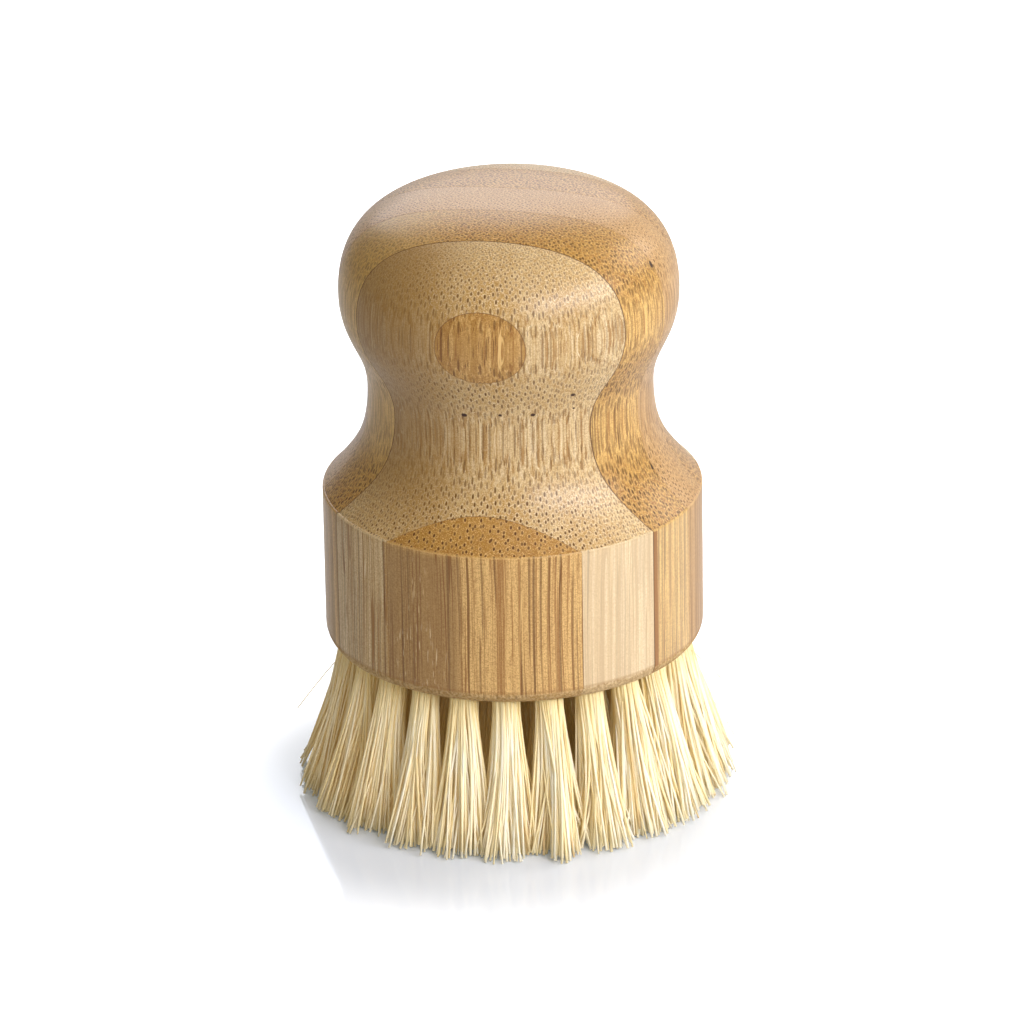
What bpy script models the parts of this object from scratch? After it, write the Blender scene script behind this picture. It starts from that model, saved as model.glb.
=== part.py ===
"""Pot brush: a turned knob of laminated bamboo with tufts of plant fibre.

Units are metres and +Z is up. The brush stands on its trimmed bristle tips,
so the origin is on the axis of turning, level with the tips, and the wide
front slice of the knob faces -Y.

The knob is turned from a block of bamboo planks. Each plank is the same
turned outline cut to its own slab of the block, with a glue line between it
and the next. The underside is drilled on concentric rings, each hole leaning
outwards a little, and every hole holds one tuft: fibres folded over a flat
wire staple, which fan out to the trimmed face.
"""

import math
import random

import bmesh
import bpy
from mathutils import Matrix, Vector
from mathutils.geometry import interpolate_bezier

# Turned outline, from the underside up
BASE_DIAMETER = 0.0520
BASE_HEIGHT = 0.0221  # the straight wall, from the underside to the rim
BASE_EDGE_RADIUS = 0.0020
RIM_EASE = 0.0003
COVE_HEIGHT = 0.0147  # from the rim to the narrowest place
WAIST_HEIGHT = 0.0138  # from there to the head's widest place
DOME_HEIGHT = 0.0136  # from there to the crown
HEAD_STEP = 0.00285  # how far the head's side lies inside the base's wall
WAIST_DEPTH = 0.00365  # how far the waist is cut in below the head

# Fullness of the outline's curves: each handle as a share of its own span
COVE_IN_SHARE = 0.64
COVE_UP_SHARE = 0.31
WAIST_UNDER_SHARE = 0.50
WAIST_OVER_SHARE = 0.44
HEAD_UNDER_SHARE = 0.47
HEAD_OVER_SHARE = 1.00
CROWN_SHARE = 0.44

SIDES_ROUND = 64
COVE_POINTS = 11
WAIST_POINTS = 8
CROWN_POINTS = 11
EDGE_POINTS = 4
WELD_DISTANCE = 0.00001

# Block of planks that the knob is turned from
HEAD_CAP_DEPTH = 0.00085  # what the foremost glue line cuts off the head
WAIST_BACK_DEPTH = 0.0013  # what the hindmost glue line cuts off the waist
MIDDLE_PLANKS = 5  # of equal thickness, between those two glue lines
GLUE_GAP = 0.0003
CUT_OVERRUN = 0.0020

# Drilled holes
HOLE_DIAMETER = 0.0040
HOLE_DEPTH = 0.0100  # wall of the hole, from its mouth to the drill's cone
DRILL_CONE = 0.0008
HOLE_SIDES = 8
RING_INSET = 0.0040  # from the base's wall to the outer ring of holes
RING_STEP_SHARE = 0.28  # from ring to ring, as a share of the outer ring's radius

# Each ring's name, count of tufts, and turn from the -Y axis in degrees
RINGS = (
    ("outer_tuft", 24, 6.8),
    ("second_ring_tuft", 15, 0.0),
    ("third_ring_tuft", 8, 13.5),
    ("centre_tuft", 3, 40.0),
)

# Tufts
BRISTLE_LENGTH = 0.0216  # from the underside of the wood to the trimmed tips
LEAN_DEGREES = 10.0  # of the outer ring's holes; the inner ones lean in proportion to their radius
ROOT_CLEARANCE = 0.0003  # between a tuft's root and its hole
FIBRE_GAP = 0.0002  # left between the strands where they leave the root
TUFT_GAP = 0.0002  # left between one tuft and the next at the tips
INNER_TIP_SHARE = 0.45  # the inner strands' ends, as a share of the outer strands'
TIP_WIDTH_SHARE = 0.95  # a strand's width at its end, as a share of its root
TIP_TRIM = 0.0005  # what the flat trim takes off the longest strands
TIP_UNEVENNESS = 0.0011  # how far the shortest strands stop above the trim
SWAY_DEGREES = 5.0

# Staple that holds the fold of each tuft
STAPLE_LENGTH_CLEARANCE = 0.0002
STAPLE_MARGIN = 0.00045  # of fibre left beside the wire, all round it
STAPLE_FOLD = 0.0022  # height of the folded end that the staple crosses
FOLD_WIDTH_SHARE = 0.66  # the folded end's width along the staple

BASE_RADIUS = BASE_DIAMETER / 2
HEAD_RADIUS = BASE_RADIUS - HEAD_STEP
WAIST_RADIUS = HEAD_RADIUS - WAIST_DEPTH
OUTER_RING_RADIUS = BASE_RADIUS - RING_INSET
OUTER_TIP_RADIUS = OUTER_RING_RADIUS + BRISTLE_LENGTH * math.tan(math.radians(LEAN_DEGREES))
SPREAD = OUTER_TIP_RADIUS / OUTER_RING_RADIUS  # from a tuft's place at the wood to its place at the tips
UNDERSIDE = BRISTLE_LENGTH
RIM = UNDERSIDE + BASE_HEIGHT
WAIST = RIM + COVE_HEIGHT
HEAD = WAIST + WAIST_HEIGHT
CROWN = HEAD + DOME_HEIGHT

# Tones of the planks in turn, from the front of the block to the back
BAMBOO_TONES = (
    (0.57, 0.34, 0.16),
    (0.68, 0.46, 0.24),
    (0.55, 0.31, 0.12),
    (0.62, 0.40, 0.20),
    (0.58, 0.35, 0.16),
)
BAMBOO_ROUGHNESS = 0.42
FIBRE_COLOUR = (0.78, 0.68, 0.45)
FIBRE_ROUGHNESS = 0.7


def clear_scene():
    for old in list(bpy.data.objects):
        bpy.data.objects.remove(old, do_unlink=True)


def plain_material(name, colour, roughness):
    """A Principled material with no metal in it."""
    material = bpy.data.materials.new(name)
    material.use_nodes = True
    shader = material.node_tree.nodes["Principled BSDF"]
    shader.inputs["Base Color"].default_value = (*colour, 1.0)
    shader.inputs["Roughness"].default_value = roughness
    shader.inputs["Metallic"].default_value = 0.0
    return material


def add_object(name, mesh):
    made = bpy.data.objects.new(name, mesh)
    bpy.context.scene.collection.objects.link(made)
    return made


def hide_cutter(cutter):
    cutter.hide_render = True
    cutter.display_type = "WIRE"


def span(start, start_handle, end_handle, end, points):
    """Points of one curve of the outline, without its last."""
    corners = [Vector((r, 0.0, z)) for r, z in (start, start_handle, end_handle, end)]
    return interpolate_bezier(*corners, points + 1)[:points]


def turned_outline():
    """The knob's half outline in the XZ plane, from the crown down its side to the axis."""
    eased_radius = BASE_RADIUS - RIM_EASE
    step_in = eased_radius - WAIST_RADIUS
    outline = span(
        (0.0, CROWN),
        (HEAD_RADIUS * CROWN_SHARE, CROWN),
        (HEAD_RADIUS, HEAD + DOME_HEIGHT * HEAD_OVER_SHARE),
        (HEAD_RADIUS, HEAD),
        CROWN_POINTS,
    )
    outline += span(
        (HEAD_RADIUS, HEAD),
        (HEAD_RADIUS, HEAD - WAIST_HEIGHT * HEAD_UNDER_SHARE),
        (WAIST_RADIUS, WAIST + WAIST_HEIGHT * WAIST_OVER_SHARE),
        (WAIST_RADIUS, WAIST),
        WAIST_POINTS,
    )
    outline += span(
        (WAIST_RADIUS, WAIST),
        (WAIST_RADIUS, WAIST - COVE_HEIGHT * WAIST_UNDER_SHARE),
        (eased_radius - step_in * COVE_IN_SHARE, RIM + COVE_HEIGHT * COVE_UP_SHARE),
        (eased_radius, RIM),
        COVE_POINTS,
    )
    outline.append(Vector((eased_radius, 0.0, RIM)))
    outline.append(Vector((BASE_RADIUS, 0.0, RIM - RIM_EASE)))
    for step in range(EDGE_POINTS + 1):
        turn = math.radians(90) * step / EDGE_POINTS
        radius = BASE_RADIUS - BASE_EDGE_RADIUS * (1 - math.cos(turn))
        height = UNDERSIDE + BASE_EDGE_RADIUS * (1 - math.sin(turn))
        outline.append(Vector((radius, 0.0, height)))
    outline.append(Vector((0.0, 0.0, UNDERSIDE)))
    return outline


def outline_mesh():
    points = turned_outline()
    mesh = bpy.data.meshes.new("turned_outline")
    mesh.from_pydata(points, [(i, i + 1) for i in range(len(points) - 1)], [])
    return mesh


def add_turning(piece):
    """Turns the outline about Z into the solid knob."""
    screw = piece.modifiers.new("turning", "SCREW")
    screw.axis = "Z"
    screw.steps = SIDES_ROUND
    screw.render_steps = SIDES_ROUND
    screw.use_merge_vertices = True
    screw.merge_threshold = WELD_DISTANCE
    screw.use_smooth_shade = True


def add_boolean(piece, operation, cutter):
    cut = piece.modifiers.new(cutter.name, "BOOLEAN")
    cut.operation = operation
    cut.solver = "EXACT"
    cut.object = cutter


def slab_cutter(name, front, back, low, high):
    """A box across the whole knob, between two depths in Y and two heights."""
    half_width = BASE_RADIUS + CUT_OVERRUN
    shape = bmesh.new()
    bmesh.ops.create_cube(shape, size=1.0)
    size = Vector((half_width * 2, back - front, high - low))
    middle = Vector((0.0, (front + back) / 2, (low + high) / 2))
    bmesh.ops.transform(
        shape, matrix=Matrix.Translation(middle) @ Matrix.Diagonal((*size, 1.0)), verts=shape.verts
    )
    mesh = bpy.data.meshes.new(name)
    shape.to_mesh(mesh)
    shape.free()
    cutter = add_object(name, mesh)
    hide_cutter(cutter)
    return cutter


def plank_slabs():
    """(name, front, back, low, high) of each plank's slab in the block.

    In front of the foremost glue line the waist is too narrow to hold any
    bamboo, so that plank is left as two pieces, one above the waist and one
    below it. The hindmost plank takes what is left of the block.
    """
    half_gap = GLUE_GAP / 2
    outside = BASE_RADIUS + CUT_OVERRUN
    low = UNDERSIDE - CUT_OVERRUN
    high = CROWN + CUT_OVERRUN
    first = HEAD_CAP_DEPTH - HEAD_RADIUS
    last = WAIST_RADIUS - WAIST_BACK_DEPTH
    thickness = (last - first) / MIDDLE_PLANKS
    slabs = [
        ("front_head_cap", -outside, first - half_gap, WAIST + half_gap, high),
        ("front_base_slice", -outside, first - half_gap, low, WAIST - half_gap),
    ]
    for plank in range(MIDDLE_PLANKS):
        front = first + thickness * plank
        back = front + thickness
        slabs.append((f"bamboo_layer_{plank + 1}", front + half_gap, back - half_gap, low, high))
    slabs.append((f"bamboo_layer_{MIDDLE_PLANKS + 1}", last + half_gap, outside, low, high))
    return slabs


def ring_radius(ring):
    return OUTER_RING_RADIUS * (1 - RING_STEP_SHARE * ring)


def tip_circle():
    """Radius of the circle that each tuft fills at the tips, just clear of its neighbours."""
    spacings = [OUTER_RING_RADIUS * RING_STEP_SHARE]
    for ring, (_, count, _) in enumerate(RINGS):
        spacings.append(2 * ring_radius(ring) * math.sin(math.pi / count))
    return (min(spacings) * SPREAD - TUFT_GAP) / 2


def tuft_places():
    """(name, mouth of the hole, centre of the tips, lean matrix) of every tuft.

    The tips stand on rings wider than the holes' rings by one ratio, so each
    hole leans outwards in proportion to its distance from the axis. The lean
    matrix turns local +Z up the hole and local +X away from the axis.
    """
    places = []
    for ring, (name, count, first_turn) in enumerate(RINGS):
        for place in range(count):
            turn = math.radians(first_turn - 90 + 360 * place / count)
            outward = Vector((math.cos(turn), math.sin(turn), 0.0))
            mouth = outward * ring_radius(ring) + Vector((0.0, 0.0, UNDERSIDE))
            tips = outward * ring_radius(ring) * SPREAD
            up = (mouth - tips).normalized()
            across = Vector((-outward.y, outward.x, 0.0))
            away = across.cross(up)
            lean = Matrix((away, across, up)).transposed()
            places.append((f"{name}_{place + 1:02d}", mouth, tips, lean))
    return places


def octagon(shape, radius, height, width_share=1.0):
    """A ring of corners whose edges face the eight compass points of the hole."""
    half_step = math.pi / HOLE_SIDES
    corner_radius = radius / math.cos(half_step)
    ring = []
    for side in range(HOLE_SIDES):
        turn = half_step + 2 * math.pi * side / HOLE_SIDES
        ring.append(
            shape.verts.new(
                (
                    corner_radius * math.cos(turn) * width_share,
                    corner_radius * math.sin(turn),
                    height,
                )
            )
        )
    return ring


def bridge(shape, lower, upper):
    """Side faces between two rings. The first faces +X."""
    sides = []
    for side in range(HOLE_SIDES):
        before = side - 1
        sides.append(shape.faces.new((lower[before], lower[side], upper[side], upper[before])))
    return sides


def drill_field(places):
    """All the drill bits in one cutter, each leaning along its own hole."""
    shape = bmesh.new()
    for _, mouth, _, lean in places:
        bit = bmesh.new()
        mouth_ring = octagon(bit, HOLE_DIAMETER / 2, -CUT_OVERRUN)
        end_ring = octagon(bit, HOLE_DIAMETER / 2, HOLE_DEPTH)
        bridge(bit, mouth_ring, end_ring)
        bit.faces.new(list(reversed(mouth_ring)))
        point = bit.verts.new((0.0, 0.0, HOLE_DEPTH + DRILL_CONE))
        for side in range(HOLE_SIDES):
            bit.faces.new((end_ring[side - 1], end_ring[side], point))
        bmesh.ops.transform(bit, matrix=Matrix.Translation(mouth) @ lean.to_4x4(), verts=bit.verts)
        piece = bpy.data.meshes.new("drill_bit")
        bit.to_mesh(piece)
        bit.free()
        shape.from_mesh(piece)
        bpy.data.meshes.remove(piece)
    mesh = bpy.data.meshes.new("drill_field")
    shape.to_mesh(mesh)
    shape.free()
    drills = add_object("drill_field", mesh)
    hide_cutter(drills)
    return drills


def add_staple(shape, fold_sides):
    """Draws a flat wire out of the folded end's two opposite sides."""
    opposite = [fold_sides[0], fold_sides[HOLE_SIDES // 2]]
    bmesh.ops.inset_individual(shape, faces=opposite, thickness=STAPLE_MARGIN)
    ends = bmesh.ops.extrude_discrete_faces(shape, faces=opposite)["faces"]
    reach = HOLE_DIAMETER / 2 - STAPLE_LENGTH_CLEARANCE
    for end in ends:
        for corner in end.verts:
            corner.co.x = math.copysign(reach, corner.co.x)


def add_strands(shape, roots, mouth, tips, lean, chance):
    """Draws one strand from each sector of the tuft's root down to the trimmed face.

    A strand keeps to its own sector all the way, and a tuft keeps to its own
    circle on the trimmed face, so no two strands cross.
    """
    to_local = (Matrix.Translation(mouth) @ lean.to_4x4()).inverted()
    circle = tip_circle()
    bmesh.ops.inset_individual(shape, faces=roots, thickness=FIBRE_GAP / 2)
    ends = bmesh.ops.extrude_discrete_faces(shape, faces=roots)["faces"]
    for strand, end in enumerate(ends):
        middle = end.calc_center_median()
        beyond = max(corner.co.length for corner in end.verts) - middle.length
        reach = circle - beyond * TIP_WIDTH_SHARE
        if strand % 2:
            reach *= INNER_TIP_SHARE
        sway = math.radians(chance.uniform(-SWAY_DEGREES, SWAY_DEGREES))
        turn = math.atan2(middle.y, middle.x) + sway
        spread = Vector((math.cos(turn), math.sin(turn), 0.0)) * reach
        height = max(0.0, chance.uniform(-TIP_TRIM, TIP_UNEVENNESS))
        for corner in end.verts:
            flat = lean @ (spread + (corner.co - middle) * TIP_WIDTH_SHARE)
            corner.co = to_local @ Vector((tips.x + flat.x, tips.y + flat.y, height))


def tuft(name, mouth, tips, lean, chance):
    """One tuft: its folded root and staple in the hole, and its strands below."""
    root_radius = HOLE_DIAMETER / 2 - ROOT_CLEARANCE
    top = HOLE_DEPTH - ROOT_CLEARANCE
    shape = bmesh.new()
    mouth_ring = octagon(shape, root_radius, 0.0)
    fold_ring = octagon(shape, root_radius, top - STAPLE_FOLD, FOLD_WIDTH_SHARE)
    top_ring = octagon(shape, root_radius, top, FOLD_WIDTH_SHARE)
    bridge(shape, mouth_ring, fold_ring)
    fold_sides = bridge(shape, fold_ring, top_ring)
    shape.faces.new(top_ring)
    centre = shape.verts.new((0.0, 0.0, 0.0))
    roots = [
        shape.faces.new((mouth_ring[side], mouth_ring[side - 1], centre))
        for side in range(HOLE_SIDES)
    ]
    add_staple(shape, fold_sides)
    add_strands(shape, roots, mouth, tips, lean, chance)
    mesh = bpy.data.meshes.new(name)
    shape.to_mesh(mesh)
    shape.free()
    made = add_object(name, mesh)
    made.matrix_world = Matrix.Translation(mouth) @ lean.to_4x4()
    return made


def make_knob(places):
    """The bamboo planks, each turned, cut to its slab and, where it reaches down, drilled."""
    outline = outline_mesh()
    drills = drill_field(places)
    for place, (name, front, back, low, high) in enumerate(plank_slabs()):
        tone = BAMBOO_TONES[max(0, place - 1) % len(BAMBOO_TONES)]
        plank = add_object(name, outline.copy())
        plank.data.materials.append(plain_material(f"{name}_bamboo", tone, BAMBOO_ROUGHNESS))
        add_turning(plank)
        add_boolean(plank, "INTERSECT", slab_cutter(f"{name}_slab", front, back, low, high))
        if low < UNDERSIDE:
            add_boolean(plank, "DIFFERENCE", drills)


def make_tufts(places):
    """The tufts, each with its own fibre material and its own seeded unevenness."""
    chance = random.Random(24)
    for name, mouth, tips, lean in places:
        made = tuft(name, mouth, tips, lean, chance)
        made.data.materials.append(plain_material(f"{name}_fibre", FIBRE_COLOUR, FIBRE_ROUGHNESS))


def main():
    clear_scene()
    places = tuft_places()
    make_knob(places)
    make_tufts(places)
    strands = len(places) * HOLE_SIDES
    print(f"{len(places)} tufts of {HOLE_SIDES} strands: {strands} strands")


main()
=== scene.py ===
# %% [markdown]
# A pot brush with a turned bamboo knob
#
# The brush has a knob turned from a block of bamboo planks, and tufts of stiff plant fibre in rings of
# drilled holes in its underside. This lesson dresses the CAD model of the brush: every plank and tuft is
# built again with numpy as a finer surface in the same place, and gets a material made of shader nodes.
#
# The packed CAD model comes first, because it is the frame that the rest is fitted to.

# %% Load the packed brush
import math

import bmesh
import bpy
import numpy as np
from mathutils import Matrix, Vector


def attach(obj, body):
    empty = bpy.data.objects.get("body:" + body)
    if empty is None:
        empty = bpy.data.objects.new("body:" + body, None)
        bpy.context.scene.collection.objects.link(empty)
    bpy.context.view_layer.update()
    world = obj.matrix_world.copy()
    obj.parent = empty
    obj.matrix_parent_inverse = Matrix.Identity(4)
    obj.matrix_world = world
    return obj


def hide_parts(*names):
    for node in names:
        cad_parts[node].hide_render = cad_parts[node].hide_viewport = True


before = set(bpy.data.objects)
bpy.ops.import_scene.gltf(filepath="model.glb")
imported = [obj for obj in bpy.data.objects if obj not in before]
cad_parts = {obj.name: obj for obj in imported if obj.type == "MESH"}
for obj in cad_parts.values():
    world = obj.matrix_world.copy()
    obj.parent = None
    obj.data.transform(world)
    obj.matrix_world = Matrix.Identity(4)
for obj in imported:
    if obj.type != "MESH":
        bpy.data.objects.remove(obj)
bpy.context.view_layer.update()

# %% [markdown]
# The camera
#
# The picture is square and was taken with a long lens from a little above the brush. A long lens a metre away
# keeps the sides of the knob nearly parallel, as they are there. The camera is placed by its direction from
# the brush and then turned a degree about its own axis, because the brush leans to the left in the frame.

# %% Camera
MM = 0.001
AZIMUTH, ELEVATION, ROLL = np.radians((10.3, 23.9, 1.05))
CAMERA_DISTANCE = 1.094
FOCAL_LENGTH, SENSOR_WIDTH = 280.5, 36.0
LOOK_AT = Vector((0.0, 0.0, 38.83 * MM))
AIM_LEFT = 0.12 * MM


def placed(name, data):
    """A new object of this data, linked to the scene."""
    thing = bpy.data.objects.new(name, data)
    bpy.context.scene.collection.objects.link(thing)
    return thing


back = Vector((
    math.sin(AZIMUTH) * math.cos(ELEVATION),
    -math.cos(AZIMUTH) * math.cos(ELEVATION),
    math.sin(ELEVATION),
))
right = Vector((math.cos(AZIMUTH), math.sin(AZIMUTH), 0.0))
turned = Matrix((right, back.cross(right), back)).transposed() @ Matrix.Rotation(-ROLL, 3, "Z")
lens = bpy.data.cameras.new("camera")
lens.lens, lens.sensor_width = FOCAL_LENGTH, SENSOR_WIDTH
camera = placed("camera", lens)
camera.matrix_world = Matrix.LocRotScale(LOOK_AT - right * AIM_LEFT + back * CAMERA_DISTANCE, turned, None)
bpy.context.scene.camera = camera
bpy.context.scene.view_settings.view_transform = "Standard"
print(f"camera at {[round(c, 3) for c in camera.location]} m")

# %% [markdown]
# The turned outline
#
# On the lathe the whole knob is one outline: a low dome, a round head, a waist, a cove that runs out to the
# rim, a straight wall and a sanded lower edge. Three cubic curves meet with level or upright ends, so the
# outline has no kink that a lathe tool would not leave. It could be drawn as a curve object, but the planks
# below need its rows of radius and height as numbers.

# %% Outline of the knob, in millimetres
BASE_RADIUS, HEAD_RADIUS, WAIST_RADIUS = 26.0, 23.15, 19.5
UNDERSIDE, RIM, WAIST, HEAD, CROWN = 21.6, 43.7, 58.4, 72.2, 85.8
RIM_EASE, EDGE_RADIUS = 0.3, 2.0
WALL_TOP, WALL_FOOT = RIM - 1.5, UNDERSIDE + 3
DOME_FLAT = 0.44
HEAD_PULL, WAIST_PULL_UP, WAIST_PULL_DOWN = 6.49, 6.07, 7.35
COVE_REACH, COVE_RISE = 0.64, 4.56
DOME_ROWS, NECK_ROWS, COVE_ROWS, RIM_ROWS, WALL_ROWS, EDGE_ROWS = 52, 34, 40, 4, 12, 10


def bezier(start, handle, end_handle, end, count):
    """Cubic curve without its last point: four corners weighed by (1-t)^3, 3t(1-t)^2, 3t^2(1-t) and t^3."""
    t = np.linspace(0, 1, count, endpoint=False)[:, None]
    weights = np.hstack([(1 - t) ** 3, 3 * t * (1 - t) ** 2, 3 * t**2 * (1 - t), t**3])
    return weights @ np.array([start, handle, end_handle, end])


def quarter_round(radius, height, ease, count):
    """A rounded corner: radius - ease(1 - cos a), height + ease(1 - sin a), with a from 0 to 90 degrees."""
    a = np.linspace(0, np.pi / 2, count)
    return np.stack([radius - ease * (1 - np.cos(a)), height + ease * (1 - np.sin(a))], 1)


rim_round = quarter_round(BASE_RADIUS, 0, RIM_EASE, RIM_ROWS)[::-1] * (1, -1) + (0, RIM)
cove_handle = (rim_round[0, 0] - (rim_round[0, 0] - WAIST_RADIUS) * COVE_REACH, RIM + COVE_RISE)
head_side, waist_side = (HEAD_RADIUS, HEAD), (WAIST_RADIUS, WAIST)
below_head, above_waist = (HEAD_RADIUS, HEAD - HEAD_PULL), (WAIST_RADIUS, WAIST + WAIST_PULL_UP)
OUTLINE = np.vstack([
    bezier((0, CROWN), (HEAD_RADIUS * DOME_FLAT, CROWN), (HEAD_RADIUS, CROWN), head_side, DOME_ROWS),
    bezier(head_side, below_head, above_waist, waist_side, NECK_ROWS),
    bezier(waist_side, (WAIST_RADIUS, WAIST - WAIST_PULL_DOWN), cove_handle, rim_round[0], COVE_ROWS),
    rim_round,
    np.stack([np.full(WALL_ROWS, BASE_RADIUS), np.linspace(WALL_TOP, WALL_FOOT, WALL_ROWS)], 1),
    quarter_round(BASE_RADIUS, UNDERSIDE, EDGE_RADIUS, EDGE_ROWS),
])
width, height = OUTLINE[:, 0].max() * 2, np.ptp(OUTLINE[:, 1])
print(f"outline of {len(OUTLINE)} rows, {width:.1f} mm across, {height:.1f} mm high")

# %% [markdown]
# Rows of the planks
#
# The block was glued up from flat planks before it was turned, so each plank is the slice of the turned body
# between two upright glue lines. A boolean with a box would cut it, but it leaves long thin triangles that
# show as dents in a lacquered surface. Here the slice is worked out instead, row by row of the outline. Where
# a glue line reaches the surface it curves fast, so the rows are set closer there.

# %% Rows and faces of a grid
CROWD = np.linspace(-1, 1, 15)


def unit(vectors):
    """Each vector divided by its length."""
    return vectors / np.linalg.norm(vectors, axis=-1, keepdims=True)


def outline_rows(depths, inset):
    """The outline's rows, moved inwards along its normal, with extra rows where its radius passes a depth.

    The extra rows crowd towards that place: they lie at it plus u|u|, with u in equal steps from -1 to 1.
    """
    along = np.gradient(OUTLINE, axis=0)
    rows = OUTLINE - unit(np.stack([-along[:, 1], along[:, 0]], 1)) * inset
    number = np.arange(len(rows))
    places = [number]
    for depth in depths:
        before = np.flatnonzero((rows[:-1, 0] - depth) * (rows[1:, 0] - depth) < 0)
        share = (depth - rows[before, 0]) / (rows[before + 1, 0] - rows[before, 0])
        places.append(((before + share)[:, None] + CROWD * np.abs(CROWD)).ravel())
    places = np.unique(np.clip(np.concatenate(places), 0, len(rows) - 1).round(9))
    return np.interp(places, number, rows[:, 0]), np.interp(places, number, rows[:, 1])


def grid_faces(rows, columns, keep=None):
    """The four corners of every cell of a grid, as row number times columns plus column number."""
    corner = (np.arange(rows - 1)[:, None] * columns + np.arange(columns - 1)).reshape(-1, 1)
    faces = corner + np.array([0, 1, columns + 1, columns])
    return faces if keep is None else faces[np.repeat(keep, columns - 1)]


print(f"{len(outline_rows([WAIST_RADIUS / 2], 0.0)[0])} rows with a glue line half way out")

# %% [markdown]
# Sheets of one plank
#
# On a circle of radius r a plank starts and ends at the angles where r cos(angle) equals the depth of its two
# glue lines. Equal steps between these give an even skin whose edge is the glue line itself. Flat sheets
# close the cut faces and the underside.

# %% Sheets of one plank
COLUMNS, ACROSS = 44, 20
TOUCHING, NEVER_ZERO, LEVEL = 1e-6, 1e-9, 1e-3


def plank_sheets(front, rear, low, high, inset=0.0):
    """The sheets of one plank, each a grid of points with its faces.

    Skin: x = r sin a, y = -r cos a, with a in equal steps from the front glue line's angle to the rear one's,
    and its mirror image. Cut face at depth c: x = t sqrt(r^2 - c^2), y = c. Underside: the depths of the last
    row, x = t times its half width there. t runs from -1 to 1.
    """
    r, z = outline_rows([abs(c) for c in (front, rear)], inset)
    nearest = 0.0 if front < 0 < rear else min(abs(front), abs(rear))
    inside = (z >= low) & (z <= high) & (r >= nearest - TOUCHING)
    r, z = r[inside], z[inside]
    first, last = (np.arccos(np.clip(-c / np.maximum(r, NEVER_ZERO), -1, 1)) for c in (front, rear))
    angle = first[:, None] + (last - first)[:, None] * np.linspace(0, 1, COLUMNS)
    height = np.broadcast_to(z[:, None], angle.shape)
    skin = np.stack([r[:, None] * np.sin(angle), -r[:, None] * np.cos(angle), height], 2)
    sheets = [(skin, grid_faces(*angle.shape)), (skin * (-1, 1, 1), grid_faces(*angle.shape))]
    t = np.linspace(-1, 1, ACROSS)
    for c in (front, rear):
        if abs(c) < r.max():
            reaches = r >= abs(c) - TOUCHING
            x = np.sqrt(np.maximum(r**2 - c**2, 0))[:, None] * t
            cut = np.stack([x, np.full(x.shape, float(c)), np.broadcast_to(z[:, None], x.shape)], 2)
            sheets.append((cut, grid_faces(*x.shape, keep=reaches[:-1] & reaches[1:])))
    if z[-1] < UNDERSIDE + inset + LEVEL:
        x = (r[-1] * np.sin(angle[-1]))[:, None] * t
        y = np.broadcast_to(skin[-1, :, 1:2], x.shape)
        sheets.append((np.stack([x, y, np.full(x.shape, z[-1])], 2), grid_faces(*x.shape)))
    return sheets


print(f"{len(plank_sheets(-1, 1, 0, CROWN))} sheets close a plank in the middle")

# %% [markdown]
# Planks and glue lines
#
# Two planks leave a hair line of dark glue between them. The planks stop a few hundredths of a millimetre
# short of each glue line, and a thin film made by the same function fills the gap, a little deeper than the
# lacquer. The real lines aren't equally strong, so each has its own width. A line painted in the material
# would be easier, but it would not be there for a light that grazes the surface.

# %% Planks and glue films
GLUE_LINES = (-22.3, -14.2, -6.1, 2.0, 10.1, 18.2)
HALF_GLUE = dict(zip(GLUE_LINES, (0.022, 0.065, 0.035, 0.035, 0.035, 0.035)))
FILM_INSET = 0.02
OUTSIDE, OVER_CROWN = 30.0, CROWN + 1
MERGE_DISTANCE = 1e-6


def join_sheets(name, sheets):
    """One closed mesh of several grids: corners that meet are merged, and the faces are turned outwards."""
    offsets = np.cumsum([0] + [points[..., 0].size for points, _ in sheets])
    points = np.vstack([points.reshape(-1, 3) for points, _ in sheets]) * MM
    faces = np.vstack([faces + offset for (_, faces), offset in zip(sheets, offsets)])
    mesh = bpy.data.meshes.new(name)
    mesh.from_pydata(points.tolist(), [], faces.tolist())
    shape = bmesh.new()
    shape.from_mesh(mesh)
    bmesh.ops.remove_doubles(shape, verts=shape.verts, dist=MERGE_DISTANCE)
    bmesh.ops.delete(shape, geom=[v for v in shape.verts if not v.link_faces], context="VERTS")
    bmesh.ops.recalc_face_normals(shape, faces=shape.faces)
    shape.to_mesh(mesh)
    shape.free()
    return mesh


front_end = GLUE_LINES[0] - HALF_GLUE[GLUE_LINES[0]]
slabs = [
    ("front_head_cap", -OUTSIDE, front_end, WAIST, OVER_CROWN),
    ("front_base_slice", -OUTSIDE, front_end, 0, WAIST),
]
for number, line in enumerate(GLUE_LINES):
    next_line = (*GLUE_LINES, OUTSIDE)[number + 1]
    front, rear = line + HALF_GLUE[line], next_line - HALF_GLUE.get(next_line, 0.0)
    slabs.append((f"bamboo_layer_{number + 1}", front, rear, 0, OVER_CROWN))
plank_meshes = {name: join_sheets(name + "_turned", plank_sheets(*slab)) for name, *slab in slabs}
film_meshes = {
    f"glue_line_{number + 1}": join_sheets(
        f"glue_line_{number + 1}", plank_sheets(line - half, line + half, 0, OVER_CROWN, FILM_INSET)
    )
    for number, (line, half) in enumerate(HALF_GLUE.items())
}
print({name: len(mesh.polygons) for name, mesh in (plank_meshes | film_meshes).items()})

# %% [markdown]
# Places of the tufts
#
# The tufts stand in four rings in the underside. Each hole leans outwards in proportion to its distance from
# the axis, which makes the tufts fan out. The drill and the fibres both need these places.

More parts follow.
